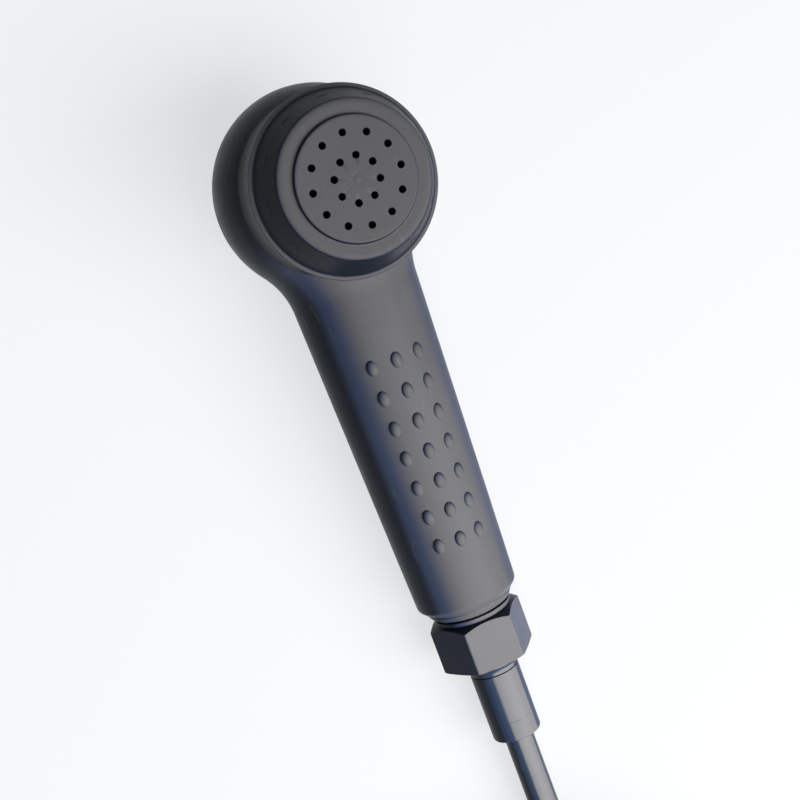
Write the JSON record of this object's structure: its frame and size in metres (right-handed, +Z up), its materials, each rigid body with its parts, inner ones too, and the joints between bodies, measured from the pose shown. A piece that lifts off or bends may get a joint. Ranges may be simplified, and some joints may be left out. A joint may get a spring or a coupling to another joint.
{
  "type": "hand shower with hose",
  "caption": "Hand shower lying on its back: ball-shaped head with a screw-off perforated spray cap, dimpled tapered handle, hexagonal hose nut and flexible hose tied in a hank.",
  "frame": {"origin": "centre of the bottom face of the bounding box of the handset, without the free hose, on the floor", "axes": "+Y from the hose nut toward the head, +Z up out of the spray face, +X to the right seen from above with the head away from the viewer"},
  "size_m": [0.0834, 0.3653, 0.0711],
  "materials": {
    "handset_body": "fine satin, charcoal",
    "cap_seal": "matte black",
    "spray_cap": "fine satin, charcoal",
    "hose_insert": "satin, black",
    "nut_washer": "matte black",
    "hose_ferrule": "satin, charcoal",
    "hose_lead": "smooth satin vinyl, charcoal",
    "hose_hank": "smooth satin vinyl, charcoal",
    "hose_end": "smooth satin vinyl, charcoal",
    "hank_tie": "smooth, black",
    "far_ferrule": "satin, charcoal",
    "far_insert": "satin, black",
    "far_washer": "matte black",
    "hose_nut": "satin, charcoal",
    "far_nut": "satin, charcoal"
  },
  "bodies": {
    "handset": {"handset_body": "handset_body"},
    "seal": {"cap_seal": "cap_seal"},
    "cap": {"spray_cap": "spray_cap"},
    "hose_tail": {"hose_insert": "hose_insert", "nut_washer": "nut_washer", "hose_ferrule": "hose_ferrule", "hose_lead": "hose_lead", "hose_hank": "hose_hank", "hose_end": "hose_end", "hank_tie": "hank_tie", "far_ferrule": "far_ferrule", "far_insert": "far_insert", "far_washer": "far_washer"},
    "nut": {"hose_nut": "hose_nut"},
    "supply_nut": {"far_nut": "far_nut"}
  },
  "joints": [
    {"name": "seal_lift", "type": "slide", "parent": "handset", "child": "seal", "axis": [0, -0.1121, 0.9937], "range_m": [0, 0.0076]},
    {"name": "cap_turn", "type": "hinge", "parent": "seal", "child": "cap", "pos_m": [0, 0.06439, 0.06278], "axis": [0, -0.1121, 0.9937], "range_deg": [0, 900]},
    {"name": "tail_draw", "type": "slide", "parent": "handset", "child": "hose_tail", "axis": [0, -0.9937, -0.1121], "range_m": [0, 0.009]},
    {"name": "nut_turn", "type": "hinge", "parent": "hose_tail", "child": "nut", "pos_m": [0, -0.06428, 0.01303], "axis": [0, -0.9937, -0.1121], "range_deg": [0, 1800]},
    {"name": "supply_nut_turn", "type": "hinge", "parent": "hose_tail", "child": "supply_nut", "pos_m": [-0.04, -0.18942, 0.05236], "axis": [0, 1, 0], "continuous": true}
  ],
  "couplings": [
    {"joint": "seal_lift", "follows": "cap_turn", "m_per_rad": 0.00047746},
    {"joint": "nut_turn", "follows": "tail_draw", "rad_per_m": 3463.7}
  ]
}
